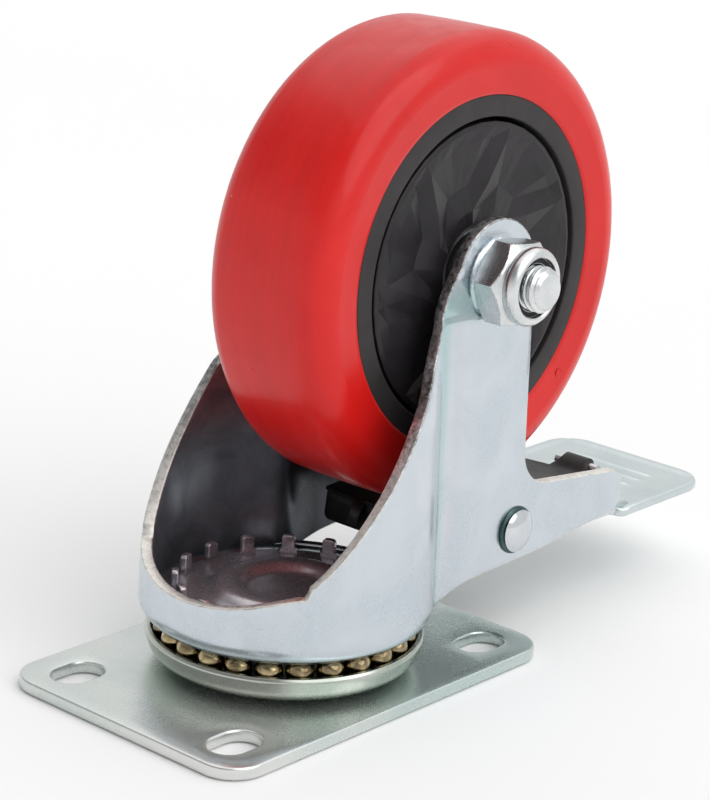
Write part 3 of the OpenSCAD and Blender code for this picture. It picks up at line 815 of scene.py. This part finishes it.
def bolt():
    """Hexagon head on the far side, shank, and a thread that shows beyond the nut, cut as one helix."""
    thread_start = NUT_Y + 4
    end_chamfer = 1.3

    def radius(angle, h):
        if h < -NUT_Y - 0.02:
            depth = -NUT_Y - h
            return min(hex_radius(angle), 8.45 + 1.6 * depth, 8.1 + 1.6 * (HEX_H - depth))
        if h < thread_start:
            return BOLT_R - 0.06
        turn = (h / THREAD - angle / (2 * math.pi)) % 1.0
        ridge = BOLT_R - 0.15 - 0.85 * (0.5 + 0.5 * math.cos(2 * math.pi * turn)) ** 1.3
        return min(ridge, 3.55 + 1.2 * (BOLT_END - h) / end_chamfer * 1.1)

    head = [-NUT_Y - d for d in (HEX_H, 6.25, 6.1, 5.9, 5.7, 5.5, 4.0, 2.4, 0.9, 0.7, 0.5, 0.3, 0.15, 0.03)]
    shank = [-NUT_Y, -10.0, 0.0, 10.0, NUT_Y + 3.9]
    tail = list(np.arange(thread_start, BOLT_END - 0.05, 0.1)) + [BOLT_END]
    return polar_solid(radius, head + shank + tail, 120, about_axle)


piece("lock_nut", lock_nut(), FASTENER, "fork", ["axle_nut"], crease=24)
piece("axle_bolt_threaded", bolt(), FASTENER, "fork", ["axle_bolt"], crease=30)
ring = rounded([(5.0, 6.6, 0), (6.2, 6.6, 0), (6.2, 8.75, 0.3), (5.35, 8.95, 0.3), (5.0, 8.4, 0)], 3)
nylon = turned([(r, NUT_Y + h) for r, h in ring], 96, about_axle)
piece("nylon_ring", nylon, NYLON, "fork", ["nut_insert"])

# ---------- pedal rivet ----------

DOME_R = 8.3                       # radius of the rivet head's dome
DOME_TOP = 24.65
RIVET_R = 3.0
RIVET_SEAT = 22.0                  # outer face of the arm under the washer
WASHER_TOP = 22.9


def rivet():
    """Shank with a domed head on each side."""
    head = [(RIVET_R, RIVET_SEAT), (RIVET_R, WASHER_TOP), (4.35, WASHER_TOP), (4.62, 23.0), (4.7, 23.2)]
    for r in (4.6, 4.2, 3.7, 3.1, 2.4, 1.6, 0.8):
        head.append((r, DOME_TOP - DOME_R + math.sqrt(DOME_R ** 2 - r ** 2)))
    half = head + [(0.0, DOME_TOP)]
    profile = half + [(r, -h) for r, h in reversed(half)]
    return turned(profile, 96, about_pivot)


piece("rivet_domed", rivet(), RIVET, "fork", ["pedal_rivet"])
# The washers carry the painted shade of the gap round the rivet.
washer = rounded([(RIVET_R, RIVET_SEAT, 0), (5.3, RIVET_SEAT, 0.1), (5.2, 22.45, 0.2),
                  (4.2, WASHER_TOP, 0.3), (RIVET_R, WASHER_TOP, 0)], 3)
for sign, side in ((1, "near"), (-1, "far")):
    piece(f"washer_{side}", turned([(r, sign * h) for r, h in washer], 96, about_pivot),
          WASHER_GAP_SHADE, "fork", [f"rivet_washer_{side}"])

# ---------- swivel head ----------

plate_high = node_box("mounting_plate")[1]
PLATE_T = plate_high[2]


def plate_piece():
    """Stamped plate with rounded edges and its four bolt slots, sized by the record's mount."""
    dims = [m for m in frame["record"]["mounts"] if m["name"] == "plate_bolts"][0]["dims"]
    slot_r = dims["hole_r_mm"]
    run = dims["slot_length_mm"] / 2 - slot_r
    half_l, half_w, corner = plate_high[0], plate_high[1], 8.0
    outline = []
    for cx, cy, start in ((1, 1, 0), (-1, 1, 90), (-1, -1, 180), (1, -1, 270)):
        outline += arc((cx * (half_l - corner), cy * (half_w - corner)), corner, start, start + 90, 10)
    holes = [arc((0, 0), 4.0, 0, 350, 35)]
    for sx in (-1, 1):
        for sy in (-1, 1):
            x, y = sx * dims["spacing_x_mm"] / 2, sy * dims["spacing_y_mm"] / 2
            holes.append(arc((x + run, y), slot_r, -90, 90, 16) + arc((x - run, y), slot_r, 90, 270, 16))

    def surface(u, v):
        return np.stack([u, v, np.full_like(u, PLATE_T)], 1)

    part = sheet_solid(outline, surface, PLATE_T, spaced(-45, 45, 4), spaced(-30, 30, 4), holes,
                       rim=0.55, gap=1.0)
    piece("plate_stamped", part, PLATE_ZINC, "base", ["mounting_plate"])


plate_piece()
dish_high = node_box("race_dish")[1]
DISH_R = dish_high[0]
DISH_RIM = dish_high[2]
DISH_HOLE_R = 6.05
bowl = [(DISH_HOLE_R, PLATE_T, 0), (20.0, PLATE_T, 3.5), (DISH_R - 1.3, PLATE_T + 2.0, 4.5),
        (DISH_R, DISH_RIM - 0.2, 0.7), (DISH_R - 0.5, DISH_RIM + 0.5, 0.35),
        (DISH_R - 1.4, DISH_RIM + 0.5, 0.3), (DISH_R - 1.5, DISH_RIM - 1.2, 0.6),
        (DISH_R - 3.6, PLATE_T + 3.4, 2.0), (19.0, PLATE_T + 2.0, 1.0), (DISH_HOLE_R, PLATE_T + 2.0, 0)]
dish = turned(rounded(bowl, 8), 180, about_swivel)
piece("race_dish_pressed", dish, DISH_ZINC, "base", ["race_dish"])

TEETH = 16
TOOTH_TURN = -2.7
CLAW_T = 1.5
CLAW_RIM_Z = 17.6
CLAW_R = 24.3                      # outer radius of the disc between its teeth


def claw():
    """Disc with a pressed ring, a dished middle and teeth bent up all round."""
    top = smooth([(0.0, 18.15), (5.0, 18.2), (8.2, 18.35), (9.6, 19.1), (11.4, 19.9), (13.2, 19.95),
                  (14.8, 19.4), (16.4, 18.1), (18.2, 17.65), (CLAW_R - 0.5, CLAW_RIM_Z)], 0.7)
    rim = [(CLAW_R - 0.1, CLAW_RIM_Z - 0.15), (CLAW_R, CLAW_RIM_Z - 0.5),
           (CLAW_R, CLAW_RIM_Z - CLAW_T + 0.4), (CLAW_R - 0.4, CLAW_RIM_Z - CLAW_T)]
    under = [(r, z - CLAW_T) for r, z in reversed(top)]
    disc = turned(top + rim + under, 144, about_swivel)
    tooth_r, bend, half_w = 25.4, 2.2, 1.45
    flat_run = 0.5
    corner_z = CLAW_RIM_Z + 3.75

    def path(v):
        """Radius and height along the tooth's upper face: flat, round the bend, then up."""
        a = np.clip((v - flat_run) / (bend - CLAW_T), 0, math.pi / 2)
        past = np.maximum(v - flat_run - (bend - CLAW_T) * math.pi / 2, 0)
        r = tooth_r - bend - flat_run + np.minimum(v, flat_run) + (bend - CLAW_T) * np.sin(a)
        buried = 0.4 * (1 - ease(v / 1.1))
        return r, CLAW_RIM_Z + (bend - CLAW_T) * (1 - np.cos(a)) + past - buried

    length = flat_run + (bend - CLAW_T) * math.pi / 2 + corner_z - CLAW_RIM_Z - (bend - CLAW_T)
    outline = rounded([(-half_w - 0.5, 0, 0), (half_w + 0.5, 0, 0), (half_w, 1.6, 0.8),
                       (half_w, length, 0.85), (-half_w, length, 0.85), (-half_w, 1.6, 0.8)], 5)
    parts = [disc]
    for k in range(TEETH):
        turn = math.radians(TOOTH_TURN + 360 / TEETH * k)

        def surface(u, v, turn=turn):
            r, z = path(v)
            x = r * math.cos(turn) - u * math.sin(turn)
            y = r * math.sin(turn) + u * math.cos(turn)
            return np.stack([x, y, z], 1)

        parts.append(sheet_solid(outline, surface, CLAW_T, spaced(-1.2, 1.2, 0.6), spaced(0.3, length, 0.3),
                                 rim=0.28, gap=0.25))
    return joined(*parts)


piece("claw_disc_pressed", claw(), CLAW_ZINC, "base", ["claw_disc"], crease=42)


def ball_ring(count, ring_r, z, ball):
    """Greased balls, each a little out of round under its film."""
    rng = np.random.default_rng(7)
    parts = []
    for k in range(count):
        turn = 2 * math.pi * k / count
        rows, columns = 14, 24
        verts, faces = [], []
        for i in range(rows + 1):
            for j in range(columns):
                tilt, spin = math.pi * i / rows, 2 * math.pi * j / columns
                film = ball * (0.992 - 0.002 * rng.random())
                out = film * math.sin(tilt)
                x = ring_r * math.cos(turn) + out * math.cos(spin)
                y = ring_r * math.sin(turn) + out * math.sin(spin)
                rise = film if 0 < i < rows else 0.99 * ball
                verts.append((x, y, z + rise * math.cos(tilt)))
        for i in range(rows):
            for j in range(columns):
                a, b = i * columns + j, i * columns + (j + 1) % columns
                faces.append((a, a + columns, b + columns, b))
        parts.append((verts, faces))
    return joined(*parts)


# count, radius of the ring, height of the centres, radius of a ball
MAIN_BALLS = (25, 24.8, 10.2, 3.0)
UPPER_BALLS = (18, 12.5, 16.5, 2.0)
for side, sizes in (("main", MAIN_BALLS), ("upper", UPPER_BALLS)):
    piece(f"{side}_balls_greased", ball_ring(*sizes), GREASED, f"{side}_ball_ring", [f"{side}_balls"],
          crease=180)

# ---------- pedal and brake leaf ----------

pedal_high = node_box("brake_pedal")[1]
PEDAL_T = 2.0
TREAD_Z = 20.3
TREAD_X = 88.4
PEDAL_END = pedal_high[0]
PEDAL_HALF = pedal_high[1]
WEB_Z = 21.1
CHEEK_Y = 19.2
RIBS = (104.5, 109.0, 113.5)
RIB_HALF = 12.5


def pedal_top(u, v):
    """Upper face of the web and the tread, with its pressed ribs and slightly dropped rim."""
    z = WEB_Z + (TREAD_Z - 0.35 - WEB_Z) * ease((u - 85.5) / 5.0)
    for place in RIBS:
        ends = 1 - ease((np.abs(v) - RIB_HALF + 2.0) / 2.0)
        z = z + 0.22 * ends * np.exp(-((u - place) / 0.8) ** 2)
    rim = np.minimum(PEDAL_END - u, PEDAL_HALF - np.abs(v))
    panel = ease((rim - 1.6) / 1.6) * ease((u - 92.0) / 2.0)
    return np.stack([u, v, z + 0.28 * (1 - panel) * ease((u - 90.0) / 2.0)], 1)


def pedal_piece():
    r = 8.0
    corner = arc((PEDAL_END - r, PEDAL_HALF - r), r, 0, 90, 12)
    half = corner + [(98.0, PEDAL_HALF)] + arc((TREAD_X + 3.2, PEDAL_HALF - 3), 3, 90, 180, 6)
    half += [(TREAD_X + 0.2, CHEEK_Y + 0.2), (TREAD_X - 1.0, CHEEK_Y), (62.0, CHEEK_Y)]
    outline = half + [(x, -y) for x, y in reversed(half)]
    us = list(spaced(63, 85, 2.5)) + list(np.arange(85.5, 94, 0.6)) + list(spaced(95, 103, 1.6))
    us += list(np.arange(103.2, 116, 0.3)) + list(spaced(116.5, PEDAL_END - 0.6, 0.8))
    rim_rows = [s * (PEDAL_HALF - y) for s in (-1, 1) for y in (0.7, 1.3, 1.9, 2.6)]
    vs = sorted(list(spaced(-18, 18, 1.5)) + rim_rows)
    tread = sheet_solid(outline, pedal_top, PEDAL_T, us, vs, rim=0.5, gap=0.3)
    cheek = arc((PIVOT_X, PIVOT_Z), 6.4, 90, 250, 12)
    cheek += [(56, 19.4), (86, 19.4), (89.5, 18.6), (93.5, 18.6), (94, 20.0), (91.5, 22.2), (84, 25.4),
              (60, 30.4)]
    near = sheet_solid(cheek, flat_at(-CHEEK_Y), PEDAL_T, spaced(42, 92, 3), spaced(18, 32, 3),
                       rim=0.3, gap=0.8)
    shoe = rounded([(56, 19.35, 0), (63, 19.35, 0), (63, 21.1, 0.2), (60.2, 22.3, 0.8), (59.5, 26, 2),
                    (58.4, 34.2, 0.3), (57.4, 34.5, 0.3), (56.3, 34, 0.3), (57.6, 25, 2)], 4)
    front = sheet_solid(shoe, flat_at(-12.0), 24.0, spaced(56, 63, 2), spaced(20, 34, 2), rim=0.3, gap=0.5)
    lug = rounded([(96.6, 18.6, 0), (102.4, 18.6, 0), (101, 22.4, 0.6), (97.4, 22.4, 0.6)], 4)
    lugs = sheet_solid(lug, flat_at(-5.9), 1.2, [98, 99.5, 101], [19.5, 21], rim=0.2, gap=0.4)
    part = joined(tread, near, mirrored(near), front, lugs, mirrored(lugs))
    piece("pedal_pressed", part, PEDAL_ZINC, "pedal", ["brake_pedal"], crease=40)


pedal_piece()

EYE_X, EYE_Z = 99.2, 23.2
LEAF_T = 1.0
EYE_MID = 1.65                     # middle of the rolled sheet, from the pin's centre


def leaf_path():
    """Side view of the leaf's middle line: prongs, saddle, slope, flat rear and the rolled eye."""
    front = smooth([(24.9, 25.0), (24.9, 27.4), (25.3, 28.8), (26.6, 29.6), (34, 30.1), (44, 30.7),
                    (52, 30.8), (56, 30.3), (62, 27.7), (70, 24.0), (74.5, 22.6), (79, 21.9), (88, 21.8),
                    (94.2, 21.9)], 0.8)
    tangent = smooth([(94.2, 21.9), (95.8, 22.5), (97.2, 23.9), (EYE_X - 1.1, EYE_Z + 1.3)], 0.4)
    roll = arc((EYE_X, EYE_Z), EYE_MID, 122, -190, 40)
    return np.array(front[:-1] + tangent[:-1] + roll)


def leaf_piece():
    path = leaf_path()
    run = np.concatenate([[0], np.cumsum(np.linalg.norm(np.diff(path, axis=0), axis=1))])

    def surface(u, v):
        e = 0.15
        here = np.stack([np.interp(u, run, path[:, k]) for k in (0, 1)], 1)
        ahead = np.stack([np.interp(u + e, run, path[:, k]) for k in (0, 1)], 1)
        behind = np.stack([np.interp(u - e, run, path[:, k]) for k in (0, 1)], 1)
        along = ahead - behind
        along /= np.maximum(np.linalg.norm(along, axis=1), 1e-9)[:, None]
        up = here + 0.5 * LEAF_T * np.stack([-along[:, 1], along[:, 0]], 1)
        return np.stack([up[:, 0], v, up[:, 1]], 1)

    def at_x(x):
        first = np.argmax(path[:, 0] >= x)
        return float(run[first])

    end = float(run[-1]) - 0.05
    half = [(0.2, 3.1), (0.2, 6.0), (at_x(26.6), 6.0), (at_x(27.4), 15.0), (at_x(52), 15.0),
            (at_x(90), 15.0), (at_x(94.6), 14.6), (at_x(95.2), 5.2), (at_x(96.2), 4.4), (end, 4.4)]
    inside = [(at_x(26.7), 3.1), (at_x(26.7), -3.1)]
    outline = half + [(u, -v) for u, v in reversed(half)] + list(reversed(inside))
    slot = [(at_x(56), -12.4), (at_x(63), -12.4), (at_x(63), 12.4), (at_x(56), 12.4)]
    us = sorted(list(run[::2]))
    part = sheet_solid(outline, surface, LEAF_T, us, spaced(-14.5, 14.5, 1.6), [slot], rim=0.2, gap=0.2)
    flange = rounded([(-14.9, 22.8, 1.5), (14.9, 22.8, 1.5), (14.9, 29.7, 0), (-14.9, 29.7, 0)], 5)

    def hanging(u, v):
        return np.stack([27.4 + 0.8 * ease((v - 27.5) / 2.5), -u, v], 1)

    front = sheet_solid(flange, hanging, LEAF_T, spaced(-13, 13, 2), spaced(24, 29, 0.6), rim=0.2, gap=0.3)
    part = joined(part, front)
    piece("leaf_spring", part, BLACK, "pedal", ["brake_leaf"], crease=40)


leaf_piece()

# ---------- CAD nodes that keep their shape ----------

RACES = [f"bearing_{side}_{part}" for side in ("near", "far") for part in ("outer", "inner", "balls")]
CARRIED = {
    PLAIN_STEEL: ["swivel_post", "spacer_tube", "side_bush_near", "side_bush_far", "pivot_sleeve",
                  "leaf_pin"],
    BEARING_STEEL: RACES,
    BRASS: ["bearing_near_cage", "bearing_far_cage"],
}
for material, names in CARRIED.items():
    for name in names:
        node = frame["nodes"][name]
        for slot_place in node.material_slots:
            slot_place.link = "OBJECT"
            slot_place.material = material

# ---------- floor, light and camera ----------

SKY_STRENGTH = 0.84
VIEW_ANGLES = (-48.94, 17.64, 2.94)    # azimuth, elevation and roll, in degrees
VIEW_TARGET = (0.0, -16.3, 63.3)       # in millimetres
VIEW_DISTANCE = 524.9                  # in millimetres
FOCAL_LENGTH = 118.67


def floor():
    bpy.ops.mesh.primitive_plane_add(size=12, location=(0, 0, -0.0002))
    plane = bpy.context.object
    plane.name = "studio_floor"
    look = Look("floor_pale", Roughness=0.9)
    soft = look.noise(3.0, 2.0, 0.5)
    look.colour(look.ramp(soft, [(0.2, (0.94, 0.94, 0.94)), (0.8, (0.96, 0.96, 0.96))]))
    plane.data.materials.append(look.material)


def studio_sky():
    """Pale all round, with a dark flag high up on the left that the plating reflects."""
    world = bpy.data.worlds.new("studio")
    world.use_nodes = True
    tree = world.node_tree
    back = tree.nodes["Background"]
    where = tree.nodes.new("ShaderNodeTexCoord")
    split = tree.nodes.new("ShaderNodeSeparateXYZ")
    tree.links.new(where.outputs["Generated"], split.inputs[0])

    def looked_up(output, stops):
        scale = tree.nodes.new("ShaderNodeMapRange")
        scale.inputs["From Min"].default_value = -1.0
        ramp = tree.nodes.new("ShaderNodeValToRGB")
        while len(ramp.color_ramp.elements) < len(stops):
            ramp.color_ramp.elements.new(0.5)
        for element, (place, tone) in zip(ramp.color_ramp.elements, stops):
            element.position = 0.5 + place / 2
            element.color = (tone, tone, tone, 1.0)
        tree.links.new(split.outputs[output], scale.inputs["Value"])
        tree.links.new(scale.outputs["Result"], ramp.inputs["Fac"])
        return ramp.outputs["Color"]

    dark_up = looked_up("Z", [(0.0, 1.0), (0.25, 0.9), (0.50, 0.35), (0.8, 0.28), (1.0, 0.55)])
    pale_up = looked_up("Z", [(0.0, 1.0), (0.55, 1.0), (0.8, 0.75), (1.0, 0.65)])
    mix = tree.nodes.new("ShaderNodeMix")
    mix.data_type = "RGBA"
    tree.links.new(looked_up("X", [(-0.25, 0.0), (0.35, 1.0)]), mix.inputs[0])
    tree.links.new(dark_up, mix.inputs[6])
    tree.links.new(pale_up, mix.inputs[7])
    tree.links.new(mix.outputs[2], back.inputs["Color"])
    back.inputs["Strength"].default_value = SKY_STRENGTH
    bpy.context.scene.world = world


def soft_sun(name, toward, width, strength):
    """A wide, far lamp: even light on the floor and a soft round highlight in the plating."""
    light = bpy.data.lights.new(name, "SUN")
    light.angle = math.radians(width)
    light.energy = strength
    obj = bpy.data.objects.new(name, light)
    obj.rotation_euler = Vector(toward).to_track_quat("Z", "Y").to_euler()
    bpy.context.scene.collection.objects.link(obj)


def camera():
    """A long lens from the front left and above, tipped a little to the side."""
    azimuth, elevation, roll = (math.radians(a) for a in VIEW_ANGLES)
    target = Vector(VIEW_TARGET) * MM
    distance = VIEW_DISTANCE * MM
    back = Vector((math.sin(azimuth) * math.cos(elevation), -math.cos(azimuth) * math.cos(elevation),
                   math.sin(elevation)))
    lens = bpy.data.cameras.new("camera")
    lens.lens = FOCAL_LENGTH
    lens.sensor_width = 36
    lens.clip_start = 0.01
    obj = bpy.data.objects.new("camera", lens)
    look_at = back.to_track_quat("Z", "Y").to_matrix()
    right = look_at.col[0] * math.cos(roll) + look_at.col[1] * math.sin(roll)
    up = look_at.col[1] * math.cos(roll) - look_at.col[0] * math.sin(roll)
    matrix = obj.matrix_world.copy()
    for column, axis in enumerate((right, up, back)):
        for row in range(3):
            matrix[row][column] = axis[row]
    matrix.translation = target + back * distance
    obj.matrix_world = matrix
    bpy.context.scene.collection.objects.link(obj)
    bpy.context.scene.camera = obj


floor()
studio_sky()
soft_sun("key_front", (0.0, -0.90, 0.85), 60, 1.2)
soft_sun("top", (0.25, 0.10, 1.0), 80, 0.85)
camera()
bpy.context.scene.view_settings.view_transform = "Standard"
